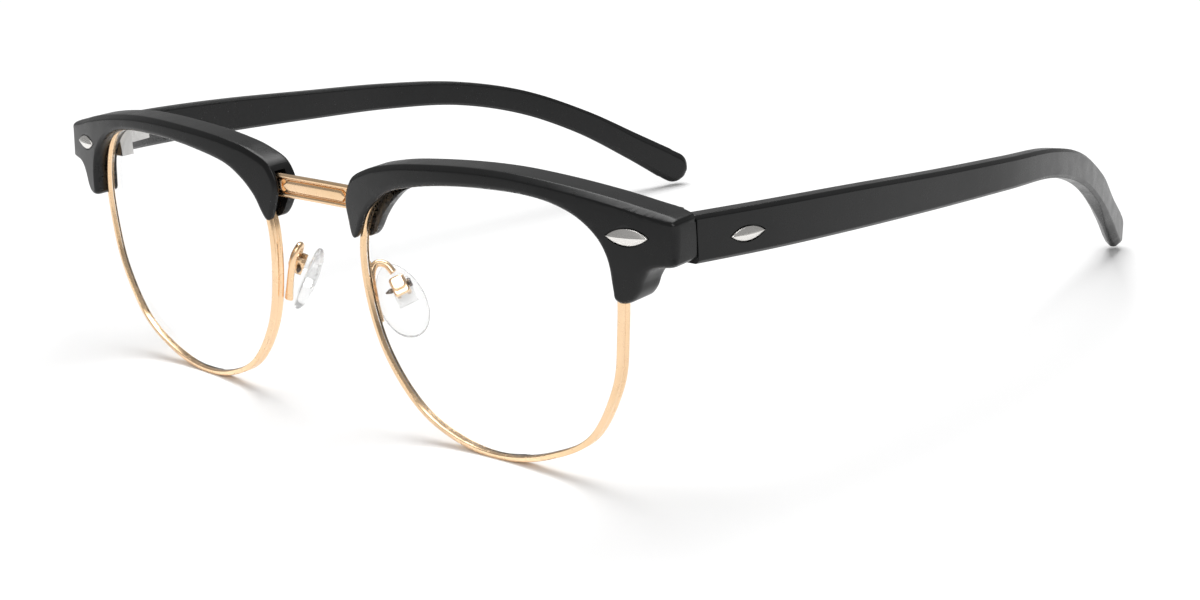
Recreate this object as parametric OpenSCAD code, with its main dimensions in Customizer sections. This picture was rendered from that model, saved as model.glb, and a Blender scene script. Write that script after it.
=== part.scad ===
// Browline eyeglasses: two metal eyewires hung under black plastic brow pieces,
// joined by a metal bridge, with nose pads on wire arms and hinged temples.
// +X is the wearer's left, the front faces -Y, the temples run to +Y, +Z is up.
// The rims and the temple tips stand on z = 0.  Right-hand pieces mirror the left-hand ones.

/* [Front] */
// Distance from the middle of the nose to the middle of a lens
lens_x = 36; // [34:0.5:38]
// Height of the middle of a lens above the ground
lens_z = 20; // [19.5:0.1:20.5]
// Depth of the lens plane from the middle of the glasses
lens_y = -71; // [-72:0.5:-70]
// Radius of the sphere that the lenses and rims follow
face_r = 150; // [140:5:220]
// Turn of each lens towards the temples, in degrees
wrap = 3.2; // [2:0.2:5]
// Lean of the top of each lens forwards, in degrees
tilt = 1.5; // [0:0.1:4]

/* [Rims and lenses] */
// Front-to-back depth of the eyewire
rim_depth = 1.7; // [1.6:0.1:2.2]
// Thickness of the eyewire across its edge
rim_wall = 0.85; // [0.8:0.05:1.2]
// Thickness of the lens
lens_thick = 1.0; // [0.8:0.1:1.2]
// How far the lens and its groove sit behind the middle of the eyewire
lens_back = 0.3; // [0:0.05:0.3]

/* [Brow pieces] */
// How far the brow's front face stands in front of the middle of the lens
brow_front = 2.4; // [2.2:0.1:2.8]
// How far the brow's rear face stands behind the lens surface
brow_rear = 2.2; // [2:0.1:2.6]
// Turn of the brow's front face against the lens, which thickens it towards the temple, in degrees
brow_turn = 1.5; // [1:0.1:2]
// Turn of the brow's rear face, which thins it towards the temple, in degrees
brow_rear_turn = 0.8; // [0:0.1:1.2]
// Depth where the endpiece ends and the temple begins
joint_y = -63.6; // [-64:0.1:-63.4]

/* [Temples] */
// Thickness of a temple
temple_thick = 2.9; // [2.8:0.1:3.4]
// Width of the bevel along a temple's edges
temple_bevel = 0.5; // [0.4:0.1:0.7]
// Radius of the hinge knuckles
knuckle_r = 1.4; // [1.3:0.05:1.45]
// Radius of the hinge screw's shank
hinge_screw_r = 0.7; // [0.6:0.05:0.8]

/* [Nose pads] */
// Length of a pad
pad_length = 12.2; // [12:0.2:14]
// Width of a pad
pad_width = 7; // [6.5:0.1:8.5]
// Thickness of a pad
pad_thick = 2.2; // [1.8:0.1:2.6]
// Radius of the wire of a pad arm
wire_r = 0.55; // [0.5:0.05:0.65]

/* [Hidden] */
$fn = 48;

black = "#1d1d1f";
gold = "#d9b48c";
steel = "#c9c6c0";
clear = "#dfe8ee";
dark = "#4b4643";

gap = 0.05;            // clearance between pieces that sit in each other
slot_gap = 0.1;        // clearance of the rim in the brow's slot

// Outline of the outer edge of the left eyewire, seen from the front, from the lens centre
rim_anchors = [[24.5, 1.4], [24.7, 10.6], [20.9, 18.1], [11.5, 21.4], [-1, 21.7], [-12.8, 20.3],
               [-21.2, 16.2], [-25.1, 9.6], [-25, 0.4], [-22.1, -8.4], [-15.8, -15.8],
               [-7.2, -19.4], [1.4, -20], [10.1, -18], [17.9, -13.9], [22.9, -6]];
rim_steps = 5;         // stations between two anchors of the eyewire

// Outline of the left brow piece, seen from the front, from the lens centre
brow_anchors = [[-27.7, 14.5], [-27.2, 16.6], [-25.6, 18.6], [-22.5, 20], [-19, 21], [-12.4, 22.1],
                [-2.3, 22.9], [7, 23], [15.6, 22.3], [23.7, 21.1], [29.8, 19.8], [34.5, 18.8],
                [34.5, 12.6], [31.6, 12.3], [30.2, 11.7], [29.2, 10.3], [28.6, 8.8], [27.6, 7.6],
                [26.2, 7.2], [25.1, 7.8], [24.8, 9.4], [24.2, 12.8], [22.6, 15.6], [19.5, 18],
                [15.5, 19.5], [11, 20.2], [6, 20.4], [-1, 20.2], [-8.5, 19.4], [-15, 17.6],
                [-18.4, 15.4], [-20.8, 13], [-22.6, 10.6], [-24.1, 9.6], [-25.6, 10],
                [-27, 12]];

// The brow's front lobe beside the nose is narrower than its rear lobe: these places on the
// outline, counted from front_lobe_from, are moved like this in front of the slot
front_lobe_from = 29;
front_lobe_moves = [[-0.8, 0.3], [-1.4, 0.5], [-1.8, 0.4], [-1.6, 0.3], [-1.2, 0.1], [-0.6, 0]];

// Centre line of the left temple and its height: [x, y, z, height]
temple_anchors = [[68.7, -64, 35.45, 6.5], [71.3, -50, 34.65, 6.4], [72.6, -34, 33.5, 6.1],
                  [72.9, -15, 31.85, 5.5], [72.3, 4, 30.15, 5], [69.6, 20.5, 28, 4.7],
                  [65.8, 35.3, 23.8, 4.9], [61.6, 48.5, 17.4, 5.1], [57.6, 59.3, 10.4, 5.8],
                  [54.8, 66.9, 5.2, 6.7], [54.1, 69.8, 3.6, 6.3], [53.8, 71.2, 2.8, 4.2]];
temple_steps = 4;

// Hinge: axis place, height of the middle knuckle's ends, outer ends
pivot_x = 65.1;
pivot_y = -61.9;
knuckle_z = [33.0, 34.6, 36.3, 37.9];

// Plaques: half length and half width of the front and temple ones, height, rivets
front_plaque_size = [3.15, 1.1];
temple_plaque_size = [2.85, 0.95];
plaque_h = 0.45;
plaque_sunk = 0.25;        // depth of the recess around a plaque
rivet_r = 0.5;
rivet_x = 1.3;             // rivets stand this far from the middle of a plaque

// Pad: centre of its box, direction of its top and of its face towards the nose
box_at = [12.2, -65.2, 20.9];
pad_up = [-0.58, 0.05, 0.82];
pad_face = [-0.8, 0.6, 0];
box_size = [2, 2.4, 3];    // depth, width, length
core_wall = 0.9;           // thickness of the pad core's lug
pad_reach = 1.2;           // from the screw to the back of the pad
pad_side = 0.8;            // the pad's middle lies this far along the screw
pad_drop = 1.5;            // the pad's middle hangs this far below its screw

function unit(v) = v / norm(v);
function curve_at(a, b, c, d, u) =
    (2 * b + (c - a) * u + (2 * a - 5 * b + 4 * c - d) * u * u
     + (3 * b - a - 3 * c + d) * u * u * u) / 2;
function closed_curve(p, steps) =
    let (n = len(p))
    [for (i = [0 : n - 1], k = [0 : steps - 1])
        curve_at(p[(i + n - 1) % n], p[i], p[(i + 1) % n], p[(i + 2) % n], k / steps)];
function open_curve(p, steps) =
    let (n = len(p))
    [for (i = [0 : n - 2], k = [0 : i < n - 2 ? steps - 1 : steps])
        curve_at(p[max(i - 1, 0)], p[i], p[i + 1], p[min(i + 2, n - 1)], k / steps)];

rim_path = closed_curve(rim_anchors, rim_steps);
rim_count = len(rim_path);
// The outward direction at each station of the eyewire, whose path runs anticlockwise
rim_out = [for (i = [0 : rim_count - 1])
    let (d = rim_path[(i + 1) % rim_count] - rim_path[(i + rim_count - 1) % rim_count])
    unit([d[1], -d[0]])];
function rim_offset(by) = [for (i = [0 : rim_count - 1]) rim_path[i] + by * rim_out[i]];

// Depth of the sphere of the lenses at a place seen from the front
function sag(p) = face_r - sqrt(face_r * face_r - p[0] * p[0] - p[1] * p[1]);
function on_face(p, depth) = [p[0], sag(p) + depth, p[1]];

// A solid through a list of rings of points.  Each end is closed by a ladder of triangles
// between the first and the last points of its ring.
module skin(rings) {
    n = len(rings[0]);
    last = (len(rings) - 1) * n;
    sides = [for (j = [0 : len(rings) - 2], i = [0 : n - 1]) let (k = (i + 1) % n)
        each [[j * n + i, j * n + k, (j + 1) * n + k], [j * n + i, (j + 1) * n + k, (j + 1) * n + i]]];
    ladder = [for (i = [0 : n / 2 - 2]) each [[i, i + 1, n - 2 - i], [i, n - 2 - i, n - 1 - i]]];
    start = [for (f = ladder) if (f[1] != f[2]) [f[2], f[1], f[0]]];
    end = [for (f = ladder) if (f[1] != f[2]) [f[0] + last, f[1] + last, f[2] + last]];
    polyhedron([for (r = rings) each r], concat(sides, start, end));
}

module left_face() {
    translate([lens_x, lens_y, lens_z]) rotate([tilt, 0, wrap]) children();
}
module right_side() {
    mirror([1, 0, 0]) children();
}
// The space between two depths of the lens sphere, within an outline seen from the front
module face_shell(outline, front, rear, front_turn = 0, rear_turn = 0) {
    intersection() {
        translate([0, 15, 0]) rotate([90, 0, 0]) linear_extrude(30) polygon(outline);
        difference() {
            rotate([0, 0, -front_turn]) translate([0, face_r, 0]) sphere(face_r + front, $fn = 200);
            rotate([0, 0, -rear_turn]) translate([0, face_r, 0]) sphere(face_r - rear, $fn = 200);
        }
    }
}
// Puts children on the lens sphere at a place seen from the front, with their +Z pointing forwards
module on_front(p, forward) {
    r = face_r + forward;
    lift = -asin(p[1] / r);
    translate([0, face_r, 0]) rotate([lift, 0, asin(p[0] / (r * cos(lift)))])
        translate([0, -r, 0]) rotate([90, 0, 0]) children();
}
module marquise(a, b) {
    r = (a * a + b * b) / (2 * b);
    intersection() {
        translate([0, r - b]) circle(r, $fn = 96);
        translate([0, b - r]) circle(r, $fn = 96);
    }
}
module plaque(size, pin) {
    linear_extrude(plaque_h, convexity = 2) marquise(size[0], size[1]);
    for (x = [-rivet_x, rivet_x]) translate([x, 0, -pin]) cylinder(r = rivet_r, h = pin + 0.1);
}
module plaque_hole(size, pin) {
    translate([0, 0, -plaque_sunk]) linear_extrude(2)
        marquise(size[0] + plaque_sunk, size[1] + plaque_sunk);
    for (x = [-rivet_x, rivet_x])
        translate([x, 0, -pin - gap]) cylinder(r = rivet_r + gap, h = pin + 0.1);
}

// ---- eyewires and lenses ----
rim_d = rim_depth / 2;
groove = 0.12;         // depth of the line along the eyewire's outside
seat = 0.35;           // depth of the groove that holds the lens
seat_half = 0.45;      // half width of that groove
rim_section = [[0, -rim_d], [0, -0.3], [-groove, 0], [0, 0.3], [0, rim_d], [-rim_wall, rim_d],
               [-rim_wall, lens_back + seat_half], [-rim_wall + seat, lens_back],
               [-rim_wall, lens_back - seat_half], [-rim_wall, -rim_d]];
lock_at = 5;           // station of the eyewire where it is cut and locked
module rim() {
    color(gold) left_face() skin([for (k = [1 : rim_count - 1]) let (i = (lock_at + k) % rim_count)
        [for (q = rim_section) on_face(rim_path[i] + q[0] * rim_out[i], q[1])]]);
}
lock_centre = rim_path[lock_at];
lock_size = [2.6, 1.6, 2.6];
lock_from = 0.3;       // the lock blocks start this far outside the eyewire's edge
lock_split = 0.15;     // half the gap between the two blocks
lock_screw_x = 1.75;
lock_screw_r = 0.5;
module at_lock() {
    left_face() translate([lock_centre[0], sag(lock_centre), lock_centre[1]]) children();
}
module rim_lock() {
    color(gold) at_lock() for (s = [-1, 1]) difference() {
        translate([lock_from, -lock_size[1] / 2, s * (lock_split + lock_size[2] / 2) - lock_size[2] / 2])
            cube(lock_size);
        translate([lock_screw_x, 0, -4]) cylinder(r = lock_screw_r + gap / 2, h = 8);
    }
}
module rim_screw() {
    head_z = lock_split + lock_size[2];
    color(steel) at_lock() translate([lock_screw_x, 0, 0]) {
        translate([0, 0, -2.5]) cylinder(r = lock_screw_r, h = head_z + 2.6);
        translate([0, 0, head_z + gap]) cylinder(r = 0.85, h = 0.6);
    }
}
lens_edge = rim_wall + gap;
lens_ridge = 0.3;      // height of the ridge around the lens's edge
module lens() {
    // Rings as [share of the outline, depth in half thicknesses]
    rings = [for (q = [[0.35, -1], [0.7, -1], [0.96, -1], [1, -0.45], [1, 0], [1, 0.45], [0.96, 1],
                       [0.7, 1], [0.35, 1]])
        [for (i = [0 : rim_count - 1])
            let (edge = rim_path[i] - (lens_edge - (q[1] == 0 ? lens_ridge : 0)) * rim_out[i])
            on_face(edge * q[0], lens_back + q[1] * lens_thick / 2)]];
    color(clear) left_face() skin(rings);
}
bridge_y = -69.75;
bridge_z = 35;
bridge_half = 1.85;    // half height
bridge_rib = 0.45;     // radius of its upper and lower ribs
module bridge() {
    rib_z = bridge_half - bridge_rib;
    color(gold) difference() {
        translate([-17, bridge_y, bridge_z]) rotate([90, 0, 90]) linear_extrude(34) {
            for (s = [-1, 1]) translate([0, s * rib_z]) circle(bridge_rib, $fn = 24);
            translate([-0.3, -rib_z]) square([0.6, 2 * rib_z]);
            translate([-0.55, -0.85]) square([1.0, 1.7]);
        }
        for (s = [0, 1]) mirror([s, 0, 0]) {
            left_face() translate([0, 15, 0]) rotate([90, 0, 0])
                linear_extrude(30) polygon(rim_offset(0.01));
            at_brow_screw() translate([0, 0, -4]) cylinder(r = brow_screw_r + gap / 2, h = 8);
        }
    }
}

// ---- brow pieces ----
brow_outline = closed_curve(brow_anchors, 3);
brow_front_outline = closed_curve([for (i = [0 : len(brow_anchors) - 1])
    let (k = i - front_lobe_from)
    k >= 0 && k < len(front_lobe_moves) ? brow_anchors[i] + front_lobe_moves[k] : brow_anchors[i]], 3);
plaque_at = [27.5, 16.3];
brow_screw_r = 0.4;
// The slot's open end towards the nose, seen from the front
slot_mouth = [[-32, 6], [-20, 6], [-20, 17.2], [-32, 17.2]];
// The brow screw's axis: +Z points forwards
module at_brow_screw() {
    translate([10.3, bridge_y, bridge_z]) rotate([90, 0, 0]) children();
}
module brow() {
    slot_d = rim_d + slot_gap;
    color(black) difference() {
        left_face() {
            face_shell(brow_front_outline, brow_front, 0.01, brow_turn, 0);
            face_shell(brow_outline, 0, brow_rear, 0, brow_rear_turn);
        }
        left_face() face_shell(rim_offset(slot_gap), slot_d, slot_d);
        left_face() face_shell(slot_mouth, slot_d, slot_d);
        at_lock() translate([-1, -lock_size[1] / 2 - gap, -4]) cube([4.1, lock_size[1] + 2 * gap, 8]);
        translate([50, joint_y, 20]) cube([30, 10, 30]);
        at_front_plaque() plaque_hole(front_plaque_size, 4);
        hinge_plate(gap);
        at_brow_screw() translate([0, 0, -4]) cylinder(r = brow_screw_r + gap, h = 4.7);
        at_brow_screw() translate([0, 0, -4]) cylinder(r = 0.8, h = 2.3);
    }
}
module brow_screw() {
    color(steel) at_brow_screw() {
        translate([0, 0, -2]) cylinder(r = brow_screw_r, h = 2.6);
        translate([0, 0, -2.3]) cylinder(r = 0.75, h = 0.5);
    }
}
module at_front_plaque() {
    left_face() rotate([0, 0, -brow_turn]) on_front(plaque_at, brow_front) children();
}
module front_plaque() {
    color(steel) at_front_plaque() translate([0, 0, -plaque_sunk]) plaque(front_plaque_size, 2);
}

// ---- hinges ----
plate_at = [58.6, -65.4, 33.5];
plate_size = [5.6, 2.2, 4.4];
leaf_turn = -9.5;          // the temple leaf follows the temple's start, in degrees
leaf_z = [33.6, 37.3];
leaf_length = 9;
leaf_thick = 1.2;
module hinge_plate(grow) {
    translate(plate_at - [grow, grow, grow]) cube(plate_size + 2 * [grow, grow, grow]);
}
module knuckle(z0, z1, bore) {
    difference() {
        union() {
            translate([pivot_x, pivot_y, z0]) cylinder(r = knuckle_r, h = z1 - z0);
            children();
        }
        translate([pivot_x, pivot_y, z0 - 1]) cylinder(r = bore, h = z1 - z0 + 2);
    }
}
module hinge_front() {
    low = knuckle_z[1] + gap;
    high = knuckle_z[2] - gap;
    color(steel) {
        hinge_plate(0);
        knuckle(low, high, hinge_screw_r + 0.01)
            translate([62.5, -63.3, low]) cube([2.6, 1.4, high - low]);
    }
}
module hinge_leaf(grow) {
    translate([66.9, joint_y, 0]) rotate([0, 0, leaf_turn])
        translate([-0.7 - grow, 0.6 - grow, leaf_z[0] - grow])
            cube([leaf_thick + 2 * grow, leaf_length + 2 * grow, leaf_z[1] - leaf_z[0] + 2 * grow]);
}
module hinge_temple() {
    color(steel) difference() {
        union() {
            for (k = [0, 2]) knuckle(knuckle_z[k], knuckle_z[k + 1], hinge_screw_r + gap)
                translate([pivot_x, pivot_y, max(knuckle_z[k], leaf_z[0])])
                    cube([1.8, knuckle_r,
                          min(knuckle_z[k + 1], leaf_z[1]) - max(knuckle_z[k], leaf_z[0])]);
            hinge_leaf(0);
        }
        translate([pivot_x, pivot_y, knuckle_z[1]])
            cylinder(r = knuckle_r + 0.15, h = knuckle_z[2] - knuckle_z[1]);
    }
}
module hinge_screw() {
    color(steel) translate([pivot_x, pivot_y, 0]) {
        translate([0, 0, knuckle_z[0] - 0.2])
            cylinder(r = hinge_screw_r, h = knuckle_z[3] - knuckle_z[0] + 0.4);
        translate([0, 0, knuckle_z[3] + gap]) cylinder(r = 1.2, h = 0.6);
    }
}

// ---- temples ----
temple_path = open_curve(temple_anchors, temple_steps);
temple_count = len(temple_path);
function place(q) = [q[0], q[1], q[2]];
function temple_frame(i) =
    let (along = unit(place(temple_path[min(i + 1, temple_count - 1)])
                      - place(temple_path[max(i - 1, 0)])),
         out = unit(cross(along, [0, 0, 1])))
    [out, cross(out, along)];
// A bevelled rectangle across the temple, as [outwards, upwards] pairs
function bevelled(w, h, c) = [[-w, -h + c], [-w + c, -h], [w - c, -h], [w, -h + c],
                              [w, h - c], [w - c, h], [-w + c, h], [-w, h - c]];
function temple_ring(i, w, h, c) =
    let (f = temple_frame(i))
    [for (q = bevelled(w, h, c)) place(temple_path[i]) + q[0] * f[0] + q[1] * f[1]];
wire_from = 14;
wire_to = temple_count - 4;
module core(grow) {
    skin([for (i = [wire_from : wire_to]) temple_ring(i, 0.5 + grow, 1 + grow, 0.2)]);
}
module temple() {
    color(black) difference() {
        skin([for (i = [0 : temple_count - 1])
            temple_ring(i, temple_thick / 2, temple_path[i][3] / 2, temple_bevel)]);
        // The temple's front end is flat against the endpiece
        translate([60, joint_y - 10 + gap, 20]) cube([20, 10, 30]);
        core(gap);
        hinge_leaf(gap);
        at_temple_plaque() plaque_hole(temple_plaque_size, 1.6);
    }
}
module core_wire() {
    color(steel) core(0);
}
plaque_station = 3;
module at_temple_plaque() {
    f = temple_frame(plaque_station);
    c = place(temple_path[plaque_station]) + f[0] * temple_thick / 2;
    along = cross(f[1], f[0]);
    multmatrix([[along[0], f[1][0], f[0][0], c[0]],
                [along[1], f[1][1], f[0][1], c[1]],
                [along[2], f[1][2], f[0][2], c[2]],
                [0, 0, 0, 1]]) translate([-1.3, -0.3, 0]) rotate(2) children();
}
module temple_plaque() {
    color(steel) at_temple_plaque() translate([0, 0, -plaque_sunk]) plaque(temple_plaque_size, 1.3);
}

// ---- nose pads ----
pad_z = unit(pad_up);
pad_y = unit(cross(pad_z, pad_face));
pad_x = cross(pad_y, pad_z);
// Puts children at a pad's screw: +X towards the nose, +Y along the screw, +Z up the pad
module at_pad() {
    multmatrix([[pad_x[0], pad_y[0], pad_z[0], box_at[0]],
                [pad_x[1], pad_y[1], pad_z[1], box_at[1]],
                [pad_x[2], pad_y[2], pad_z[2], box_at[2]],
                [0, 0, 0, 1]]) children();
}
arm_anchors = [[11.3, -68.9, 16.2], [10.4, -68.7, 20], [9.7, -68.3, 23], [9.5, -67.2, 24.5],
               [10.4, -66.1, 24.3], [11.5, -65.7, 23.1]];
arm_path = open_curve(arm_anchors, 5);
module pad_arm() {
    n = len(arm_path);
    color(gold) skin([for (i = [0 : n - 1])
        let (along = unit(arm_path[min(i + 1, n - 1)] - arm_path[max(i - 1, 0)]),
             side = unit(cross(along, [1, 0, 0])), up = cross(side, along))
        [for (a = [0 : 36 : 324]) arm_path[i] + wire_r * (cos(a) * side + sin(a) * up)]]);
}
pad_screw_r = 0.35;
module pad_box() {
    color(gold) at_pad() difference() {
        translate([-box_size[0] / 2 - 0.4, -box_size[1] / 2, -box_size[2] / 2])
            cube([box_size[0], box_size[1], box_size[2]]);
        translate([-0.8, -core_wall / 2 - 0.1, -2]) cube([3, core_wall + 0.2, 4]);
        rotate([90, 0, 0]) translate([0, 0, -2]) cylinder(r = pad_screw_r + 0.01, h = 4);
    }
}
module pad_screw() {
    color(dark) at_pad() rotate([-90, 0, 0]) {
        translate([0, 0, -1.3]) cylinder(r = pad_screw_r, h = 2.9);
        translate([0, 0, 1.6]) cylinder(r1 = pad_screw_r, r2 = 0.1, h = 0.8);
        translate([0, 0, -1.75]) cylinder(r = 0.7, h = 0.5);
    }
}
module nose_pad() {
    turns = [for (a = [0 : 15 : 345]) [cos(a) * (1 - 0.12 * sin(a)), sin(a)]];
    // Rings as [height, share of the outline]
    rings = [[0, 0.55], [0.2, 0.85], [0.6, 1], [1.2, 0.98], [1.8, 0.78], [pad_thick, 0.4]];
    color(clear) at_pad() translate([pad_reach, pad_side, -pad_drop])
        skin([for (q = rings)
            [for (p = turns) [q[0], p[0] * q[1] * pad_width / 2, p[1] * q[1] * pad_length / 2]]]);
}
module pad_core() {
    color(clear) at_pad() {
        difference() {
            translate([-0.7, -core_wall / 2, -0.75]) cube([pad_reach + 1.5, core_wall, 1.5]);
            rotate([90, 0, 0]) translate([0, 0, -2]) cylinder(r = pad_screw_r + gap, h = 4);
        }
        translate([pad_reach + 0.5, -1.5, -2.5]) cube([0.6, 3, 4]);
    }
}

brow();  // brow_left
right_side() brow();  // brow_right
rim();  // rim_left
right_side() rim();  // rim_right
rim_lock();  // rim_lock_left
right_side() rim_lock();  // rim_lock_right
rim_screw();  // rim_screw_left
right_side() rim_screw();  // rim_screw_right
lens();  // lens_left
right_side() lens();  // lens_right
bridge();
brow_screw();  // brow_screw_left
right_side() brow_screw();  // brow_screw_right
front_plaque();  // front_plaque_left
right_side() front_plaque();  // front_plaque_right
hinge_front();  // hinge_front_left
right_side() hinge_front();  // hinge_front_right
hinge_screw();  // hinge_screw_left
right_side() hinge_screw();  // hinge_screw_right
hinge_temple();  // hinge_temple_left
right_side() hinge_temple();  // hinge_temple_right
temple();  // temple_left
right_side() temple();  // temple_right
temple_plaque();  // temple_plaque_left
right_side() temple_plaque();  // temple_plaque_right
core_wire();  // core_wire_left
right_side() core_wire();  // core_wire_right
pad_arm();  // pad_arm_left
right_side() pad_arm();  // pad_arm_right
pad_box();  // pad_box_left
right_side() pad_box();  // pad_box_right
pad_screw();  // pad_screw_left
right_side() pad_screw();  // pad_screw_right
nose_pad();  // nose_pad_left
right_side() nose_pad();  // nose_pad_right
pad_core();  // pad_core_left
right_side() pad_core();  // pad_core_right
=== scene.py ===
"""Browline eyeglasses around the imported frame: fine meshes, materials, a pale studio and the camera."""

import math

import bmesh
import bpy
import numpy as np
from mathutils import Matrix, Vector


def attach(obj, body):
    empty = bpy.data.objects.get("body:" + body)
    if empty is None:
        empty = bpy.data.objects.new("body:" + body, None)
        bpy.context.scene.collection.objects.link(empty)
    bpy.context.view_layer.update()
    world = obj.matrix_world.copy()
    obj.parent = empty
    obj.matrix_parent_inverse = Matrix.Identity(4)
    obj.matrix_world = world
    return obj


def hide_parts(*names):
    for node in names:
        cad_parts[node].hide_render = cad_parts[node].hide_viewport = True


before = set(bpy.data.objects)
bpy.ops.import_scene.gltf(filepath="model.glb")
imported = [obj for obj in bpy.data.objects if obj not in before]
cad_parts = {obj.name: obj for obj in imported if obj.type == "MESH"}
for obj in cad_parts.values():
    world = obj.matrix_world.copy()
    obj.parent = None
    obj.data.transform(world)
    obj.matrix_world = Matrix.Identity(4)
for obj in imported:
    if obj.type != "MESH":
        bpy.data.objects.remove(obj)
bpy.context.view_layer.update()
MM = 0.001
SIDES = {"left": 1, "right": -1}

# Lengths are in millimetres and angles in degrees, for the left side. They follow the CAD model, but
# the brow's endpiece corners and the temple's tip are rounder here
LENS_AT = np.array([36.0, -71.0, 20.0])
FACE_R, WRAP, TILT = 150.0, 3.2, 1.5
RIM_DEPTH, RIM_WALL = 1.7, 0.85
GROOVE = 0.13                      # depth of the groove along the rim's outside
LENS_BACK, LENS_THICK = 0.3, 1.0
BROW_FRONT, BROW_REAR = 2.4, 2.2   # the brow's faces, ahead of the lens face and behind it
FRONT_TURN, REAR_TURN = 1.5, 0.8
SLOT_HALF = RIM_DEPTH / 2 + 0.1    # half the width of the brow's slot for the rim
BROW_EDGE, REAR_EDGE = 0.8, 0.35   # widths of the brow's softened edges
END_EDGE = 1.3                     # width of its softened edge at the endpiece
JOINT_Y = -63.6                    # where the endpiece ends and the temple begins
JOINT_GAP = 0.05
RIM_ANCHORS = [(24.5, 1.4), (24.7, 10.6), (20.9, 18.1), (11.5, 21.4), (-1, 21.7), (-12.8, 20.3),
               (-21.2, 16.2), (-25.1, 9.6), (-25, 0.4), (-22.1, -8.4), (-15.8, -15.8),
               (-7.2, -19.4), (1.4, -20), (10.1, -18), (17.9, -13.9), (22.9, -6)]
BROW_ANCHORS = [(-27.7, 14.5), (-27.2, 16.6), (-25.6, 18.6), (-22.5, 20), (-19, 21), (-12.4, 22.1),
                (-2.3, 22.9), (7, 23), (15.6, 22.3), (23.7, 21.1), (29.8, 19.8), (33.4, 18.98),
                (34.25, 18.5), (34.5, 17.6), (34.5, 13.8), (34.25, 12.95), (33.4, 12.5), (31.6, 12.3),
                (30.2, 11.7), (29.2, 10.3), (28.6, 8.8), (27.6, 7.6),
                (26.2, 7.2), (25.1, 7.8), (24.8, 9.4), (24.2, 12.8), (22.6, 15.6), (19.5, 18),
                (15.5, 19.5), (11, 20.2), (6, 20.4), (-1, 20.2), (-8.5, 19.4), (-15, 17.6),
                (-18.4, 15.4), (-20.8, 13), (-22.6, 10.6), (-24.1, 9.6), (-25.6, 10), (-27, 12)]
FRONT_LOBE_FROM = 33               # the first anchor of the front lobe, narrower than the rear one
FRONT_LOBE_MOVES = [(-0.8, 0.3), (-1.4, 0.5), (-1.8, 0.4), (-1.6, 0.3), (-1.2, 0.1), (-0.6, 0)]
BROW_TOP = (0, 11)                 # anchors along the brow's upper edge
BROW_END = (12, 15)                # anchors of the edge beside the temple
SLOT_MOUTH = [(-40, 6), (-20, 6), (-20, 17.2), (-40, 17.2)]
TEMPLE_ANCHORS = [(68.7, -64, 35.45, 6.5), (71.3, -50, 34.65, 6.4), (72.6, -34, 33.5, 6.1),
                  (72.9, -15, 31.85, 5.5), (72.3, 4, 30.15, 5), (69.6, 20.5, 28, 4.7),
                  (65.8, 35.3, 23.8, 4.9), (61.6, 48.5, 17.4, 5.1), (57.6, 59.3, 10.4, 5.8),
                  (54.8, 66.9, 5.2, 6.7), (54.1, 69.8, 3.6, 6.3), (53.8, 71.2, 2.8, 4.2)]
TIP_ANCHORS = [(54.8, 66.9, 5.2, 6.5), (53.95, 69.1, 3.75, 6.6), (53.1, 71.2, 2.35, 6.6)]
TEMPLE_THICK = 2.9
TEMPLE_EDGE, TIP_EDGE = 0.5, 1.2   # widths of the temple's softened edges, along it and at its tip
EDGE_CHANGE = (26, 10)             # distances from the tip between which the edge widths change
TIP_ROUND_HIGH, TIP_ROUND_THICK = 3.3, 1.6
PLAQUE_AT = (27.5, 16.3)
FRONT_PLAQUE, TEMPLE_PLAQUE = (3.15, 1.1), (2.85, 0.95)
PLAQUE_GAP = 0.2
TEMPLE_PLAQUE_SHIFT, TEMPLE_PLAQUE_TILT = (-1.3, -0.3), 2
BRIDGE_Y, BRIDGE_Z = -69.75, 35.0
BRIDGE_HALF, BRIDGE_BOW, BRIDGE_ARCH = 12.9, 0.3, 0.2
RIB_AT = 1.45                      # height of the bridge's ribs above and below its middle
BAND_HALF = 0.94
BOX_AT = np.array([12.2, -65.2, 20.9])
PAD_UP, PAD_FACE = (-0.58, 0.05, 0.82), (-0.8, 0.6, 0)
PAD_LENGTH, PAD_WIDTH, PAD_THICK = 12.2, 7.0, 2.2
PAD_REACH, PAD_DROP, PAD_SIDE = 1.2, 1.5, 0.8
LUG_SLOT = ((-0.8, -0.55, -2), (2.2, 0.55, 2))
SCREW_SLOT = ((-0.8, -2.1, -0.12), (0.8, -1.55, 0.12))
WIRE_R = 0.55
ARM_ANCHORS = [(11.3, -68.9, 16.2), (10.4, -68.7, 20), (9.7, -68.3, 23), (9.5, -67.2, 24.5),
               (10.4, -66.1, 24.3), (11.5, -65.7, 23.1)]

# Camera and studio: angles in degrees, lengths in metres, the lens in millimetres, power in watts
CAMERA_AZ, CAMERA_EL, CAMERA_ROLL = 44.9, 16.5, -4.0
CAMERA_AIM, CAMERA_DIST, CAMERA_LENS = Vector((0.05836, -0.07, 0.02727)), 0.2558, 58.8
FLOOR_HALF, WORLD_STRENGTH = 3.0, 0.35
LAMP_AIM = Vector((0, 0, 0.02))
LAMPS = {"overhead": ((-0.2, 0.35, 1.5), 1.2, 21.0), "front": ((0.9, -1.1, 1.1), 0.8, 7.0)}

BLACK_TINTS = ((0.004, 0.0042, 0.0043), (0.0065, 0.0067, 0.007))
GOLD_TINTS = ((0.88, 0.61, 0.36), (0.93, 0.67, 0.43))
SILVER_TINTS = ((0.74, 0.72, 0.69), (0.86, 0.84, 0.81))
STEEL_TINTS = ((0.52, 0.51, 0.5), (0.66, 0.65, 0.63))
DARK_TINTS = ((0.16, 0.14, 0.13), (0.26, 0.24, 0.22))


# ---- curves and small geometry ----
def unit(v):
    v = np.asarray(v, float)
    return v / np.linalg.norm(v)


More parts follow.
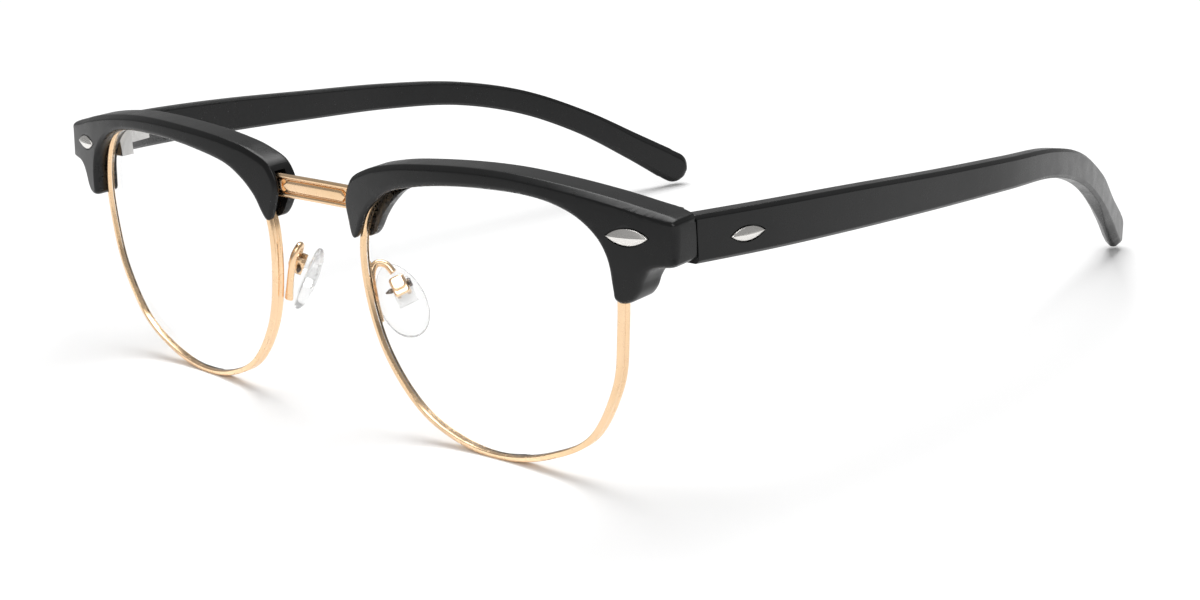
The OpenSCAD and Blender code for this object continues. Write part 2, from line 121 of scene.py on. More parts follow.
def curve_at(a, b, c, d, u):
    return (2 * b + (c - a) * u + (2 * a - 5 * b + 4 * c - d) * u ** 2
            + (3 * b - a - 3 * c + d) * u ** 3) / 2


def closed_curve(anchors, steps):
    p = np.array(anchors, float)
    n = len(p)
    return np.array([curve_at(p[i - 1], p[i], p[(i + 1) % n], p[(i + 2) % n], k / steps)
                     for i in range(n) for k in range(steps)])


def open_curve(anchors, steps):
    p = np.array(anchors, float)
    n = len(p)
    points = [curve_at(p[max(i - 1, 0)], p[i], p[i + 1], p[min(i + 2, n - 1)], k / steps)
              for i in range(n - 1) for k in range(steps)]
    return np.array(points + [p[-1]])


def outward(path, clockwise=False):
    """Unit normals that point out of a closed 2-D path."""
    d = np.roll(path, -1, 0) - np.roll(path, 1, 0)
    n = np.c_[d[:, 1], -d[:, 0]] / np.linalg.norm(d, axis=1)[:, None]
    return -n if clockwise else n


def turn_z(degrees):
    return np.array(Matrix.Rotation(math.radians(degrees), 3, "Z"))


FACE_TURN = turn_z(WRAP) @ np.array(Matrix.Rotation(math.radians(TILT), 3, "X"))


def sag(s, t):
    return FACE_R - np.sqrt(FACE_R ** 2 - s ** 2 - t ** 2)


def from_face(points):
    """Lens-frame points (sideways, depth, up) to the row frame, left side, in millimetres."""
    return np.asarray(points, float) @ FACE_TURN.T + LENS_AT


def on_face(p, depth):
    p = np.asarray(p, float)
    s, t = p[..., 0], p[..., 1]
    return from_face(np.stack([s, sag(s, t) + depth, t], axis=-1))


# ---- meshes ----
def add_mesh(name, verts, faces, side=1, smooth=True):
    """A mesh piece from points in millimetres, mirrored to the right side if side is -1."""
    v = np.array(verts, float) * MM
    if side < 0:
        v[:, 0] *= -1
        faces = [tuple(reversed(f)) for f in faces]
    mesh = bpy.data.meshes.new(name)
    mesh.from_pydata(v.tolist(), [], [tuple(int(i) for i in f) for f in faces])
    mesh.validate()
    mesh.polygons.foreach_set("use_smooth", [smooth] * len(mesh.polygons))
    obj = bpy.data.objects.new(name, mesh)
    bpy.context.scene.collection.objects.link(obj)
    return obj


def skin(rings, closed=False, caps=True):
    """Points and faces of a tube through rings of points."""
    m, n = len(rings), len(rings[0])
    verts = [p for r in rings for p in r]
    faces = [(j * n + i, j * n + (i + 1) % n, (j + 1) % m * n + (i + 1) % n, (j + 1) % m * n + i)
             for j in range(m if closed else m - 1) for i in range(n)]
    if caps and not closed:
        faces += [tuple(range(n - 1, -1, -1)), tuple(range((m - 1) * n, m * n))]
    return verts, faces


def fix_normals(obj):
    bm = bmesh.new()
    bm.from_mesh(obj.data)
    bmesh.ops.recalc_face_normals(bm, faces=bm.faces)
    bm.to_mesh(obj.data)
    bm.free()
    return obj


def apply_modifiers(obj):
    bpy.context.view_layer.update()
    graph = bpy.context.evaluated_depsgraph_get()
    mesh = bpy.data.meshes.new_from_object(obj.evaluated_get(graph))
    old = obj.data
    obj.modifiers.clear()
    obj.data = mesh
    bpy.data.meshes.remove(old)
    return obj


def cut(obj, cutter):
    """Takes the cutter's volume out of obj, and deletes the cutter."""
    m = obj.modifiers.new("cut", "BOOLEAN")
    m.operation, m.solver, m.object = "DIFFERENCE", "EXACT", cutter
    apply_modifiers(obj)
    bpy.data.objects.remove(cutter)
    return obj


def bevel(obj, width, segments=2, angle=35):
    m = obj.modifiers.new("bevel", "BEVEL")
    m.width, m.segments, m.limit_method = width * MM, segments, "ANGLE"
    m.angle_limit, m.use_clamp_overlap, m.miter_outer = math.radians(angle), True, "MITER_ARC"
    return obj


def weighted(obj):
    m = obj.modifiers.new("normals", "WEIGHTED_NORMAL")
    m.keep_sharp, m.weight = True, 50
    return obj


def subdivided(obj, levels=1):
    m = obj.modifiers.new("subdivision", "SUBSURF")
    m.levels = m.render_levels = levels
    return obj


def flat_cut(obj, point, normal, keep_below=True):
    """Slices obj with a plane, in millimetres, drops what lies beyond it and fills the cut."""
    bm = bmesh.new()
    bm.from_mesh(obj.data)
    geom = bm.verts[:] + bm.edges[:] + bm.faces[:]
    result = bmesh.ops.bisect_plane(bm, geom=geom, plane_co=Vector(point) * MM, plane_no=Vector(normal),
                                    clear_outer=keep_below, clear_inner=not keep_below, dist=1e-7)
    edges = [e for e in result["geom_cut"] if isinstance(e, bmesh.types.BMEdge)]
    bmesh.ops.holes_fill(bm, edges=edges, sides=0)
    bm.to_mesh(obj.data)
    bm.free()
    return obj


def place(matrix, points):
    m = np.array(matrix)
    return np.asarray(points, float) @ m[:3, :3].T + m[:3, 3]


def axes(x, y, z, at):
    m = np.eye(4)
    m[:3, 0], m[:3, 1], m[:3, 2], m[:3, 3] = x, y, z, at
    return m


def lathe(profile, sides=32):
    """Rings of a turned piece about Z from (radius, height) pairs."""
    angles = np.linspace(0, 2 * math.pi, sides, endpoint=False)
    return [[(r * math.cos(a), r * math.sin(a), z) for a in angles] for r, z in profile]


# ---- materials ----
def links(mat):
    return mat.node_tree.nodes, mat.node_tree.links


def material(name, **values):
    mat = bpy.data.materials.new(name)
    mat.use_nodes = True
    shader = mat.node_tree.nodes["Principled BSDF"]
    for key, value in values.items():
        shader.inputs[key.replace("_", " ")].default_value = value
    return mat, shader


def noise(mat, scale, detail=3, stretch=(1, 1, 1)):
    """A noise texture in object space, scale in repeats per metre."""
    nodes, link = links(mat)
    coords = nodes.new("ShaderNodeTexCoord")
    mapping = nodes.new("ShaderNodeMapping")
    mapping.inputs["Scale"].default_value = [scale * k for k in stretch]
    tex = nodes.new("ShaderNodeTexNoise")
    tex.inputs["Scale"].default_value = 1
    tex.inputs["Detail"].default_value = detail
    link.new(coords.outputs["Object"], mapping.inputs["Vector"])
    link.new(mapping.outputs["Vector"], tex.inputs["Vector"])
    return tex.outputs["Fac"]


def ranged(mat, value, low, high):
    nodes, link = links(mat)
    node = nodes.new("ShaderNodeMapRange")
    node.inputs["From Min"].default_value, node.inputs["From Max"].default_value = 0.3, 0.7
    node.inputs["To Min"].default_value, node.inputs["To Max"].default_value = low, high
    link.new(value, node.inputs["Value"])
    return node.outputs["Result"]


def tinted(mat, value, low, high):
    nodes, link = links(mat)
    ramp = nodes.new("ShaderNodeValToRGB")
    ramp.color_ramp.elements[0].position, ramp.color_ramp.elements[1].position = 0.3, 0.7
    ramp.color_ramp.elements[0].color = (*low, 1)
    ramp.color_ramp.elements[1].color = (*high, 1)
    link.new(value, ramp.inputs["Fac"])
    return ramp.outputs["Color"]


def bumps(mat, shader, layers):
    """Chains bump layers of (height value, strength, distance in millimetres)."""
    nodes, link = links(mat)
    normal = None
    for value, strength, distance in layers:
        node = nodes.new("ShaderNodeBump")
        node.inputs["Strength"].default_value = strength
        node.inputs["Distance"].default_value = distance * MM
        link.new(value, node.inputs["Height"])
        if normal:
            link.new(normal, node.inputs["Normal"])
        normal = node.outputs["Normal"]
    link.new(normal, shader.inputs["Normal"])


def black_plastic():
    mat, shader = material("black_plastic", IOR=1.49, Specular_IOR_Level=0.32)
    _, link = links(mat)
    cloud = noise(mat, 60, 2)
    grain = noise(mat, 9000, 2)
    link.new(tinted(mat, cloud, *BLACK_TINTS), shader.inputs["Base Color"])
    link.new(ranged(mat, noise(mat, 350, 4), 0.25, 0.33), shader.inputs["Roughness"])
    bumps(mat, shader, [(cloud, 0.03, 0.2), (grain, 0.05, 0.01)])
    return mat


def rose_gold():
    mat, shader = material("rose_gold", Metallic=1.0)
    _, link = links(mat)
    link.new(tinted(mat, noise(mat, 120, 2), *GOLD_TINTS), shader.inputs["Base Color"])
    link.new(ranged(mat, noise(mat, 900, 5), 0.2, 0.3), shader.inputs["Roughness"])
    bumps(mat, shader, [(noise(mat, 2500, 3), 0.05, 0.01)])
    return mat


def metal(name, tints, rough, stretch=(1, 1, 1)):
    mat, shader = material(name, Metallic=1.0)
    _, link = links(mat)
    link.new(tinted(mat, noise(mat, 200, 3), *tints), shader.inputs["Base Color"])
    wear = noise(mat, 1500, 4, stretch)
    link.new(ranged(mat, wear, rough - 0.05, rough + 0.07), shader.inputs["Roughness"])
    bumps(mat, shader, [(noise(mat, 5000, 3, stretch), 0.1, 0.01)])
    return mat


def lens_glass():
    mat, shader = material("lens_glass", Base_Color=(0.99, 0.992, 0.992, 1), IOR=1.15,
                           Transmission_Weight=1.0)
    _, link = links(mat)
    link.new(ranged(mat, noise(mat, 90, 3), 0.0, 0.012), shader.inputs["Roughness"])
    return mat


def clear_silicone(name, low, high, colour):
    mat, shader = material(name, Base_Color=colour, IOR=1.18, Transmission_Weight=0.86)
    _, link = links(mat)
    link.new(ranged(mat, noise(mat, 400, 3), low, high), shader.inputs["Roughness"])
    bumps(mat, shader, [(noise(mat, 700, 2), 0.08, 0.05)])
    return mat


BLACK = black_plastic()
GOLD = rose_gold()
SILVER = metal("plaque_silver", SILVER_TINTS, 0.24, (1, 1, 6))
STEEL = metal("hinge_steel", STEEL_TINTS, 0.3, (6, 1, 1))
DARK_STEEL = metal("screw_steel", DARK_TINTS, 0.32)
GLASS = lens_glass()
SILICONE = clear_silicone("pad_silicone", 0.08, 0.2, (0.97, 0.972, 0.972, 1))
CORE = clear_silicone("pad_core_plastic", 0.1, 0.2, (0.94, 0.945, 0.945, 1))


def finish_piece(obj, mat, body, slot, *nodes):
    """Gives the piece its material and body, and hides the CAD nodes that it stands for. The slot
    argument is not used.
    """
    obj.data.materials.clear()
    obj.data.materials.append(mat)
    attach(obj, body)
    if nodes:
        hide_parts(*nodes)
    return obj


# ---- eyewires and lenses ----
def rim_section():
    """The rim's section as (outwards, depth) pairs, with a groove outside and another for the lens."""
    d, w, g, back = RIM_DEPTH / 2, RIM_WALL, GROOVE, LENS_BACK
    outer = [(-0.16, -d), (-0.05, -d + 0.05), (0, -d + 0.16), (0, -0.3), (-0.03, -0.22), (-g, -0.03),
             (-g, 0.03), (-0.03, 0.22), (0, 0.3), (0, d - 0.16), (-0.05, d - 0.05), (-0.16, d)]
    inner = [(-w + 0.14, d), (-w + 0.04, d - 0.04), (-w, d - 0.1), (-w, back + 0.4), (-w + 0.3, back),
             (-w, back - 0.4), (-w, -d + 0.14), (-w + 0.04, -d + 0.04), (-w + 0.14, -d)]
    return outer + inner


def eyewire(side):
    path = closed_curve(RIM_ANCHORS, 12)
    out = outward(path)
    rings = [[on_face(p + q * n, depth) for q, depth in rim_section()] for p, n in zip(path, out)]
    obj = add_mesh("eyewire_" + side, *skin(rings, closed=True), SIDES[side])
    fix_normals(obj)
    weighted(obj)
    return finish_piece(obj, GOLD, "front", "rose_gold", "rim_" + side)


def lens(side):
    """The lens, thin and set back in the eyewire, with a bevelled rim around it."""
    path = closed_curve(RIM_ANCHORS, 8)
    out = outward(path)
    ahead = [(0.12, 1), (0.35, 1), (0.6, 1), (0.8, 1), (0.93, 1), (0.99, 1), (1, 0.85), (1, 0.4)]
    behind = [(scale, -depth) for scale, depth in reversed(ahead)]
    rings = []
    for scale, depth in (*ahead, (1, 0), *behind):
        edge = path - (RIM_WALL + 0.05 - (0.25 if depth == 0 else 0)) * out
        rings.append([on_face(p * scale, LENS_BACK + depth * LENS_THICK / 2) for p in edge])
    obj = add_mesh("lens_glass_" + side, *skin(rings), SIDES[side])
    fix_normals(obj)
    weighted(obj)
    obj.visible_shadow = False
    return finish_piece(obj, GLASS, "front", "clear_lens", "lens_" + side)


# ---- brow pieces ----
def brow_outline(steps, in_front):
    """The brow's outline, in front of the slot or behind it."""
    p = np.array(BROW_ANCHORS, float)
    if in_front:
        p[FRONT_LOBE_FROM:FRONT_LOBE_FROM + len(FRONT_LOBE_MOVES)] += FRONT_LOBE_MOVES
    return closed_curve(p, steps)


def zone(count, steps, span, spread):
    """1 along a stretch of the outline and 0 elsewhere, softened over a few stations at its ends."""
    inside = np.array([span[0] * steps <= i <= span[1] * steps for i in range(count)], float)
    return sum(np.roll(inside, k) for k in range(-spread, spread + 1)) / (2 * spread + 1)


def roomy(path, out, widths):
    """Edge widths lowered where the outline is too narrow or bends too sharply for them."""
    room = []
    for p, n, wide in zip(path, out, widths):
        w = wide
        while w > 0.15 and np.linalg.norm(path - (p - 1.3 * w * n), axis=1).min() < 1.25 * w:
            w -= 0.03
        room.append(w)
    room = np.array(room)
    room = np.min([np.roll(room, k) for k in range(-3, 4)], axis=0)
    return sum(np.roll(room, k) for k in range(-3, 4)) / 7


def brow_depth(s, t, n):
    """Depth in the lens frame from the flat model's depth, with faces at -BROW_FRONT and BROW_REAR."""
    front = BROW_FRONT + s * math.tan(math.radians(FRONT_TURN))
    rear = BROW_REAR - s * math.tan(math.radians(REAR_TURN))
    ahead = -SLOT_HALF + (n + SLOT_HALF) * (front - SLOT_HALF) / (BROW_FRONT - SLOT_HALF)
    behind = SLOT_HALF + (n - SLOT_HALF) * (rear - SLOT_HALF) / (BROW_REAR - SLOT_HALF)
    depth = np.where(n < -SLOT_HALF, ahead, np.where(n > SLOT_HALF, behind, n))
    return sag(s, t) + depth


def flat_prism(name, outline, near, far):
    """A prism in flat space: X sideways, Y depth, Z up."""
    rings = [[(s, y, t) for s, t in outline] for y in (near, far)]
    return fix_normals(add_mesh(name, *skin(rings), smooth=False))


def brow_rings(steps):
    """Rings around the brow in flat space, from its front face to its rear face."""
    outline, rear_outline = brow_outline(steps, True), brow_outline(steps, False)
    out, rear_out = outward(outline, clockwise=True), outward(rear_outline, clockwise=True)
    count = len(outline)
    top, end = zone(count, steps, BROW_TOP, 8), zone(count, steps, BROW_END, 6)
    front = roomy(outline, out, np.maximum(BROW_EDGE - 0.05 * top, END_EDGE * end))
    rear = roomy(rear_outline, rear_out, REAR_EDGE + 0.15 * top)
    roundness = np.clip(1.5 * end + 1 - 0.65 * top, 0, 1)[:, None]
    chamfer = np.array([(1.12, 0), (1.0, 0.03), (0.9, 0.1), (0.1, 0.9), (0.03, 1.0), (0, 1.12)])
    arc = np.array([(1 - math.sin(k), 1 - math.cos(k)) for k in np.radians((0, 18, 36, 54, 72, 90))])
    rings = []
    for flat, arced in zip(chamfer, arc):
        back = front[:, None] * (flat * (1 - roundness) + arced * roundness)
        rings.append([(p[0] - c[0] * n[0], -BROW_FRONT + c[1], p[1] - c[0] * n[1])
                      for p, n, c in zip(outline, out, back)])
    rings.append([(p[0], -RIM_DEPTH / 2, p[1]) for p in outline])
    rings.append([(p[0], RIM_DEPTH / 2, p[1]) for p in rear_outline])
    for inwards, back in arc[::-1]:
        rings.append([(p[0] - w * inwards * n[0], BROW_REAR - w * back, p[1] - w * inwards * n[1])
                      for p, n, w in zip(rear_outline, rear_out, rear)])
    return rings


def bend(obj):
    """Cuts the flat brow into strips and bends them onto the curved face."""
    bm = bmesh.new()
    bm.from_mesh(obj.data)
    for axis, first, last, step in ((0, -27, 34, 1.5), (2, 8, 22, 2)):
        for at in np.arange(first, last, step):
            co, no = Vector((0, 0, 0)), Vector((0, 0, 0))
            co[axis], no[axis] = at * MM, 1
            bmesh.ops.bisect_plane(bm, geom=bm.verts[:] + bm.edges[:] + bm.faces[:], plane_co=co,
                                   plane_no=no, dist=1e-6)
    for v in bm.verts:
        s, n, t = np.array(v.co) / MM
        v.co = Vector(from_face([s, float(brow_depth(s, t, n)), t])) * MM
    bm.to_mesh(obj.data)
    bm.free()


def soften(obj, width):
    """Small bevels on the sharp edges and smooth shading."""
    bevel(obj, width, 2, 50)
    for p in obj.data.polygons:
        p.use_smooth = True
    weighted(obj)


def brow(side):
    obj = fix_normals(add_mesh("brow_shell_" + side, *skin(brow_rings(6))))
    rim = closed_curve(RIM_ANCHORS, 8)
    cut(obj, flat_prism("slot_cutter", rim + 0.1 * outward(rim), -SLOT_HALF, SLOT_HALF))
    cut(obj, flat_prism("nose_cutter", SLOT_MOUTH, -SLOT_HALF - 0.003, SLOT_HALF + 0.003))
    bend(obj)
    flat_cut(obj, (0, JOINT_Y, 0), (0, 1, 0))
    cut(obj, plaque_cutter(front_plaque_frame(), FRONT_PLAQUE))
    if SIDES[side] < 0:
        mirror(obj)
    soften(obj, 0.08)
    return finish_piece(obj, BLACK, "front", "black_acetate", "brow_" + side)


def mirror(obj):
    """Flips a finished left piece to the right side."""
    obj.data.transform(Matrix.Diagonal((-1, 1, 1, 1)))
    obj.data.flip_normals()
    return obj


# ---- plaques ----
def front_plaque_frame():
    """The plaque's place on the left brow: X along it, Z out of the face."""
    r = FACE_R + BROW_FRONT
    lift = -math.asin(PLAQUE_AT[1] / r)
    swing = math.asin(PLAQUE_AT[0] / (r * math.cos(lift)))
    local = Matrix.Rotation(swing, 3, "Z") @ Matrix.Rotation(lift, 3, "X")
    at = np.array([0, FACE_R, 0]) + np.array(local) @ np.array([0, -r, 0])
    turn = FACE_TURN @ turn_z(-FRONT_TURN)
    x, y, z = (turn @ np.array(local) @ np.array(v) for v in ((1, 0, 0), (0, 0, 1), (0, -1, 0)))
    return axes(x, y, z, turn @ at + LENS_AT)


def marquise(a, b, count=24):
    """Outline of a pointed oval, anticlockwise from its right tip."""
    r = (a * a + b * b) / (2 * b)
    half = math.asin(a / r)
    angles = np.linspace(half, -half, count, endpoint=False)
    top = [(r * math.sin(k), r * math.cos(k) - (r - b)) for k in angles]
    return top + [(-x, -y) for x, y in top]


def plaque_cutter(matrix, size):
    outline = marquise(size[0] + PLAQUE_GAP, size[1] + PLAQUE_GAP)
    rings = [[(x, y, z) for x, y in outline] for z in (-0.3, 1.5)]
    verts, faces = skin(rings)
    return fix_normals(add_mesh("plaque_cutter", place(matrix, verts), faces, smooth=False))


def plaque(name, side, matrix, size, body, node):
    """A pointed oval with a raised ridge along its length, whose sides are long facets."""
    outline = np.array(marquise(*size, 32))
    profile = [(1, -0.28), (1, 0.02), (0.97, 0.07), (0.8, 0.18), (0.5, 0.33), (0.2, 0.46), (0.03, 0.5)]
    rings = []
    for scale, height in profile:
        lift = np.clip(1 - (outline[:, 0] / size[0]) ** 2, 0, 1)
        ring = np.c_[outline[:, 0], outline[:, 1] * scale, np.full(len(outline), height)]
        if height > 0.02:
            ring[:, 2] = 0.02 + (height - 0.02) * (0.25 + 0.75 * lift)
        rings.append(ring.tolist())
    verts, faces = skin(rings)
    obj = add_mesh(name, place(matrix, verts), faces, SIDES[side])
    fix_normals(obj)
    weighted(obj)
    return finish_piece(obj, SILVER, body, "silver", node)


# ---- temples ----
def temple_frames(path):
    along = np.array([unit(path[min(i + 1, len(path) - 1), :3] - path[max(i - 1, 0), :3])
                      for i in range(len(path))])
    out = np.array([unit(np.cross(a, (0, 0, 1))) for a in along])
    return along, out, np.cross(out, along)


def bar_section(w, h, c):
    """A bar's section with softly chamfered edges, as (outwards, upwards) pairs."""
    soft = 0.25 * c
    corner = [(0, c + soft), (0.06 * c, c + 0.04 * c), (0.2 * c, c - 0.16 * c), (c - 0.16 * c, 0.2 * c),
              (c + 0.04 * c, 0.06 * c), (c + soft, 0)]
    points = []
    for sx, sy in ((1, 1), (-1, 1), (-1, -1), (1, -1)):
        part = [(sx * (w - x), sy * (h - y)) for x, y in corner]
        points += part if sx * sy > 0 else part[::-1]
    return points


def temple_path():
    """Stations along the left temple up to its tip, closer together where the tip rounds off."""
    body = open_curve(TEMPLE_ANCHORS[:-2], 10)[:-1]
    p = [np.array(q, float) for q in (TEMPLE_ANCHORS[-4], *TIP_ANCHORS)]
    first = [curve_at(p[0], p[1], p[2], p[3], k / 6) for k in range(6)]
    eased = np.sin(np.radians(np.linspace(0, 90, 13)))
    last = [curve_at(p[1], p[2], p[3], 2 * p[3] - p[2], u) for u in eased]
    return np.array([*body, *first, *last])


def temple(side):
    path = temple_path()
    along, out, up = temple_frames(path)
    left = np.r_[np.cumsum(np.linalg.norm(np.diff(path[::-1, :3], axis=0), axis=1))[::-1], 0]
    rings = []
    for p, o, u, d in zip(path, out, up, left):
        tall = math.sqrt(1 - (1 - min(d / TIP_ROUND_HIGH, 1)) ** 2)
        thick = math.sqrt(1 - (1 - min(d / TIP_ROUND_THICK, 1)) ** 2)
        w, h = max(TEMPLE_THICK / 2 * thick, 0.06), max(p[3] / 2 * tall, 0.08)
        soft = np.interp(-d, (-EDGE_CHANGE[0], -EDGE_CHANGE[1]), (TEMPLE_EDGE, TIP_EDGE))
        rings.append([p[:3] + x * o + y * u for x, y in bar_section(w, h, min(soft, 0.7 * w, 0.7 * h))])
    obj = fix_normals(add_mesh("temple_arm_" + side, *skin(rings)))
    flat_cut(obj, (0, JOINT_Y + JOINT_GAP, 0), (0, 1, 0), keep_below=False)
    cut(obj, plaque_cutter(temple_plaque_frame(), TEMPLE_PLAQUE))
    if SIDES[side] < 0:
        mirror(obj)
    soften(obj, 0.1)
    return finish_piece(obj, BLACK, "temple_" + side, "black_acetate", "temple_" + side)


def temple_plaque_frame():
    """The plaque's place on the left temple: X along it, Z out of the side."""
    path = open_curve(TEMPLE_ANCHORS, 4)
    along, out, up = temple_frames(path)
    station = 3
    x = np.cross(up[station], out[station])
    at = path[station, :3] + out[station] * TEMPLE_THICK / 2
    tilt = math.radians(TEMPLE_PLAQUE_TILT)
    at = at + x * TEMPLE_PLAQUE_SHIFT[0] + up[station] * TEMPLE_PLAQUE_SHIFT[1]
    turned_x = math.cos(tilt) * x + math.sin(tilt) * up[station]
    turned_y = -math.sin(tilt) * x + math.cos(tilt) * up[station]
    return axes(turned_x, turned_y, out[station], at)


# ---- bridge ----
def bridge_bar(stations, section):
    """A bowed bar along X whose section is scaled in height by each station's second value."""
    rings = []
    for x, tall in stations:
        arch = 1 - (x / BRIDGE_HALF) ** 2
        rings.append([(x, BRIDGE_Y - BRIDGE_BOW * arch + y, BRIDGE_Z + z * tall + BRIDGE_ARCH * arch)
                      for y, z in section])
    return skin(rings)


def joined(pieces):
    """One list of points and one of faces from several."""
    verts, faces = [], []
    for v, f in pieces:
        faces += [tuple(i + len(verts) for i in g) for g in f]
        verts += list(v)
    return verts, faces


def bridge():
    """Two round ribs, a sunk web, a broad middle band with pointed ends, and end blocks."""
    whole = [(x, 1) for x in np.linspace(-BRIDGE_HALF, BRIDGE_HALF, 45)]
    circle = [(-0.42 * math.cos(a), 0.38 * math.sin(a)) for a in np.linspace(0, 2 * math.pi, 20, False)]
    pieces = [bridge_bar(whole, [(y, z + rib) for y, z in circle]) for rib in (RIB_AT, -RIB_AT)]
    pieces.append(bridge_bar(whole, [(0.02, 1.3), (0.3, 1.3), (0.3, -1.3), (0.02, -1.3)]))
    dome = [(-0.42 + 0.36 * abs(z / BAND_HALF) ** 5, z) for z in np.linspace(-BAND_HALF, BAND_HALF, 15)]
    band = [*dome, (0.2, BAND_HALF), (0.2, -BAND_HALF)]
    middle = [(x, 1) for x in np.linspace(-6.6, 6.6, 25)]
    pieces.append(bridge_bar([(-7.4, 0.05), (-7.3, 0.2), *middle, (7.3, 0.2), (7.4, 0.05)], band))
    for low, high in ((-BRIDGE_HALF, -7.75), (7.75, BRIDGE_HALF)):
        pieces.append(bridge_bar([(x, 1) for x in np.linspace(low, high, 9)], band))
    obj = fix_normals(add_mesh("bridge_bar", *joined(pieces)))
    bevel(obj, 0.06, 2, 40)
    weighted(obj)
    return finish_piece(obj, GOLD, "front", "rose_gold", "bridge")


# ---- nose pads ----
def pad_frame():
    z = unit(PAD_UP)
    y = unit(np.cross(z, PAD_FACE))
    return axes(np.cross(y, z), y, z, BOX_AT)


def pad_arm(side):
    path = open_curve(ARM_ANCHORS, 10)
    rings = []
    for i, p in enumerate(path):
        along = unit(path[min(i + 1, len(path) - 1)] - path[max(i - 1, 0)])
        across = unit(np.cross(along, (1, 0, 0)))
        up = np.cross(across, along)
        foot = 1 + 0.5 * math.exp(-(i / 5.0) ** 2)
        rings.append([p + WIRE_R * (math.cos(a) * across + foot * math.sin(a) * up)
                      for a in np.linspace(0, 2 * math.pi, 16, endpoint=False)])
    obj = fix_normals(add_mesh("pad_wire_" + side, *skin(rings), SIDES[side]))
    bevel(obj, 0.12, 2, 50)
    return finish_piece(obj, GOLD, "front", "rose_gold", "pad_arm_" + side)


def rounded_box(low, high, radius):
    """Rings of a box with rounded upright edges, along X."""
    (x0, y0, z0), (x1, y1, z1) = low, high
    outline = []
    for sy, sz, start in ((1, 1, 0), (-1, 1, 90), (-1, -1, 180), (1, -1, 270)):
        cy = (y1 if sy > 0 else y0) - sy * radius
        cz = (z1 if sz > 0 else z0) - sz * radius
        for a in range(0, 91, 18):
            angle = math.radians(start + a)
            outline.append((cy + radius * math.cos(angle), cz + radius * math.sin(angle)))
    rings = []
    for x, inset in ((x0, 0.25), (x0 + 0.08, 0.08), (x0 + 0.25, 0), (x1, 0)):
        cy, cz = (y0 + y1) / 2, (z0 + z1) / 2
        ky, kz = 1 - 2 * inset / (y1 - y0), 1 - 2 * inset / (z1 - z0)
        rings.append([(x, cy + (y - cy) * ky, cz + (z - cz) * kz) for y, z in outline])
    return rings


def pad_cutter(name, side, low, high):
    """A box in the pad's frame that is cut out of a piece."""
    (x0, y0, z0), (x1, y1, z1) = low, high
    verts, faces = skin([[(x0, y, z0), (x1, y, z0), (x1, y, z1), (x0, y, z1)] for y in (y0, y1)])
    return fix_normals(add_mesh(name, place(pad_frame(), verts), faces, SIDES[side], False))


def pad_box(side):
    """The pad's holder: a small cup with a domed back and a slot for the pad's lug."""
    cup = rounded_box((-1.4, -1.2, -1.5), (0.6, 1.2, 1.5), 0.45)
    dome = rounded_box((-1.9, -1.05, -0.7), (-1.3, 1.05, 1.4), 0.6)
    verts, faces = joined([skin(cup), skin(dome)])
    obj = fix_normals(add_mesh("pad_cup_" + side, place(pad_frame(), verts), faces, SIDES[side]))
    cut(obj, pad_cutter("lug_cutter", side, *LUG_SLOT))
    weighted(obj)
    return finish_piece(obj, GOLD, "front", "rose_gold", "pad_box_" + side)


def pad_screw(side):
    """A tiny screw through the cup: slotted head behind, pointed tip in front."""
    profile = [(0.02, -1.8), (0.55, -1.78), (0.68, -1.65), (0.7, -1.3), (0.36, -1.26), (0.36, 1.5),
               (0.42, 1.55), (0.3, 1.9), (0.12, 2.35), (0.02, 2.42)]
    rings = [[(x, z, y) for x, y, z in ring] for ring in lathe(profile, 24)]
    verts, faces = skin(rings)
    obj = fix_normals(add_mesh("pad_pin_" + side, place(pad_frame(), verts), faces, SIDES[side]))
    cut(obj, pad_cutter("slot_cutter", side, *SCREW_SLOT))
    weighted(obj)
    return finish_piece(obj, DARK_STEEL, "front", "screw_steel", "pad_screw_" + side)


def nose_pad(side):
    """A soft teardrop cushion, domed towards the nose and hollowed a little behind."""
    angles = np.linspace(0, 2 * math.pi, 48, endpoint=False)
    turns = [(math.cos(a) * (1 - 0.12 * math.sin(a)), math.sin(a)) for a in angles]
    profile = [(0.1, 0.3), (0.0, 0.55), (0.04, 0.75), (0.2, 0.88), (0.45, 0.97), (0.8, 1.0), (1.2, 0.975),
               (1.6, 0.87), (1.9, 0.7), (2.08, 0.5), (2.17, 0.28), (PAD_THICK, 0.08)]
    rings = [[(PAD_REACH + q, PAD_SIDE + a * k * PAD_WIDTH / 2, b * k * PAD_LENGTH / 2 - PAD_DROP)
              for a, b in turns] for q, k in profile]
    verts, faces = skin(rings)
    obj = fix_normals(add_mesh("soft_pad_" + side, place(pad_frame(), verts), faces, SIDES[side]))
    subdivided(obj)
    obj.visible_shadow = False
    return finish_piece(obj, SILICONE, "pad_" + side, "clear_silicone", "nose_pad_" + side)


# ---- CAD nodes that stay ----
def dress_cad_nodes():
    """Materials and soft edges for the nodes that no piece replaces."""
    finishes = {"hinge_front": STEEL, "hinge_temple": STEEL, "hinge_screw": DARK_STEEL, "rim_lock": GOLD,
                "rim_screw": DARK_STEEL, "brow_screw": DARK_STEEL, "core_wire": STEEL, "pad_core": CORE}
    for name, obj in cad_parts.items():
        kind = name.rsplit("_", 1)[0]
        if kind in finishes:
            obj.data.materials.clear()
            obj.data.materials.append(finishes[kind])
            if kind != "core_wire":
                bevel(obj, 0.1, 2, 40)


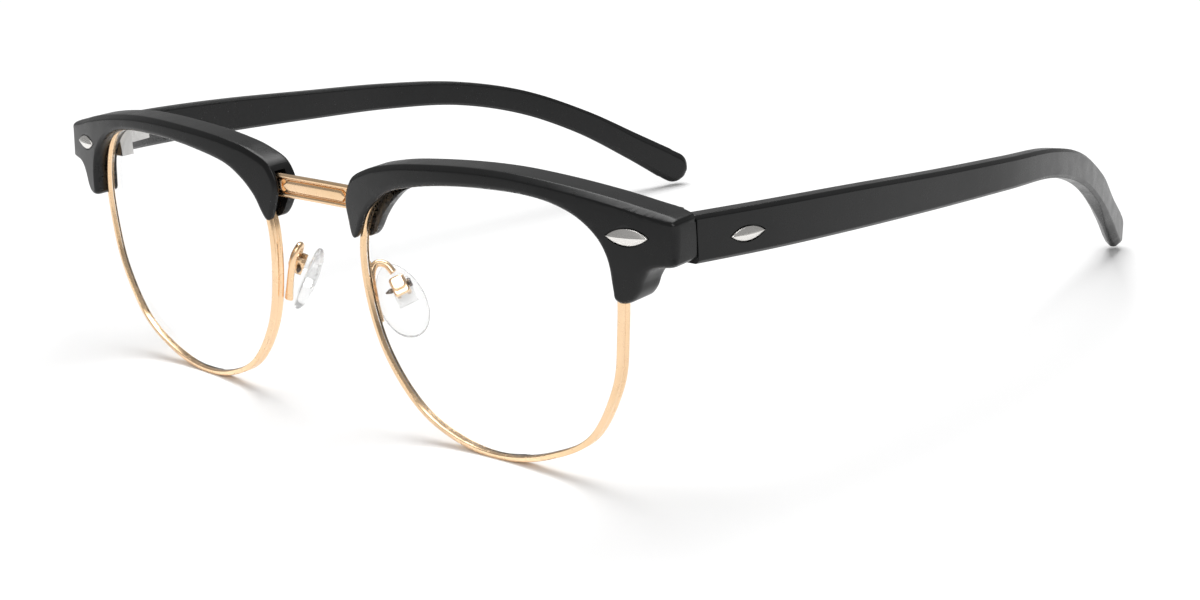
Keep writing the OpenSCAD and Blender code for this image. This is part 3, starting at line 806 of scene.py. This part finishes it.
# ---- studio ----
def studio():
    """A white world, a pale floor at Z 0, a wide lamp overhead and a smaller one in front."""
    world = bpy.data.worlds.new("studio")
    bpy.context.scene.world = world
    world.use_nodes = True
    world.node_tree.nodes["Background"].inputs["Color"].default_value = (1, 1, 1, 1)
    world.node_tree.nodes["Background"].inputs["Strength"].default_value = WORLD_STRENGTH
    half = FLOOR_HALF / MM
    floor = add_mesh("floor", [(-half, -half, 0), (half, -half, 0), (half, half, 0), (-half, half, 0)],
                     [(0, 1, 2, 3)])
    mat, _ = material("pale_floor", Base_Color=(0.97, 0.97, 0.97, 1), Roughness=0.8)
    floor.data.materials.append(mat)
    for name, (at, width, power) in LAMPS.items():
        light = bpy.data.lights.new(name, "AREA")
        light.size, light.energy = width, power
        lamp = bpy.data.objects.new(name, light)
        lamp.location = at
        lamp.rotation_euler = (LAMP_AIM - Vector(at)).to_track_quat("-Z", "Y").to_euler()
        bpy.context.scene.collection.objects.link(lamp)


def camera():
    a, e, r = (math.radians(v) for v in (CAMERA_AZ, CAMERA_EL, CAMERA_ROLL))
    back = Vector((math.sin(a) * math.cos(e), -math.cos(a) * math.cos(e), math.sin(e)))
    right = Vector((math.cos(a), math.sin(a), 0))
    up = back.cross(right)
    right, up = math.cos(r) * right + math.sin(r) * up, math.cos(r) * up - math.sin(r) * right
    data = bpy.data.cameras.new("camera")
    data.lens, data.sensor_width = CAMERA_LENS, 36
    data.clip_start = 0.01
    cam = bpy.data.objects.new("camera", data)
    cam.matrix_world = Matrix((right, up, back)).transposed().to_4x4()
    cam.location = CAMERA_AIM + back * CAMERA_DIST
    bpy.context.scene.collection.objects.link(cam)
    bpy.context.scene.camera = cam


camera()
studio()
for side in SIDES:
    eyewire(side)
    lens(side)
    brow(side)
    plaque("brow_plaque_" + side, side, front_plaque_frame(), FRONT_PLAQUE, "front",
           "front_plaque_" + side)
    temple(side)
    plaque("arm_plaque_" + side, side, temple_plaque_frame(), TEMPLE_PLAQUE, "temple_" + side,
           "temple_plaque_" + side)
    pad_arm(side)
    pad_box(side)
    pad_screw(side)
    nose_pad(side)
bridge()
dress_cad_nodes()
bpy.context.scene.view_settings.view_transform = "Standard"
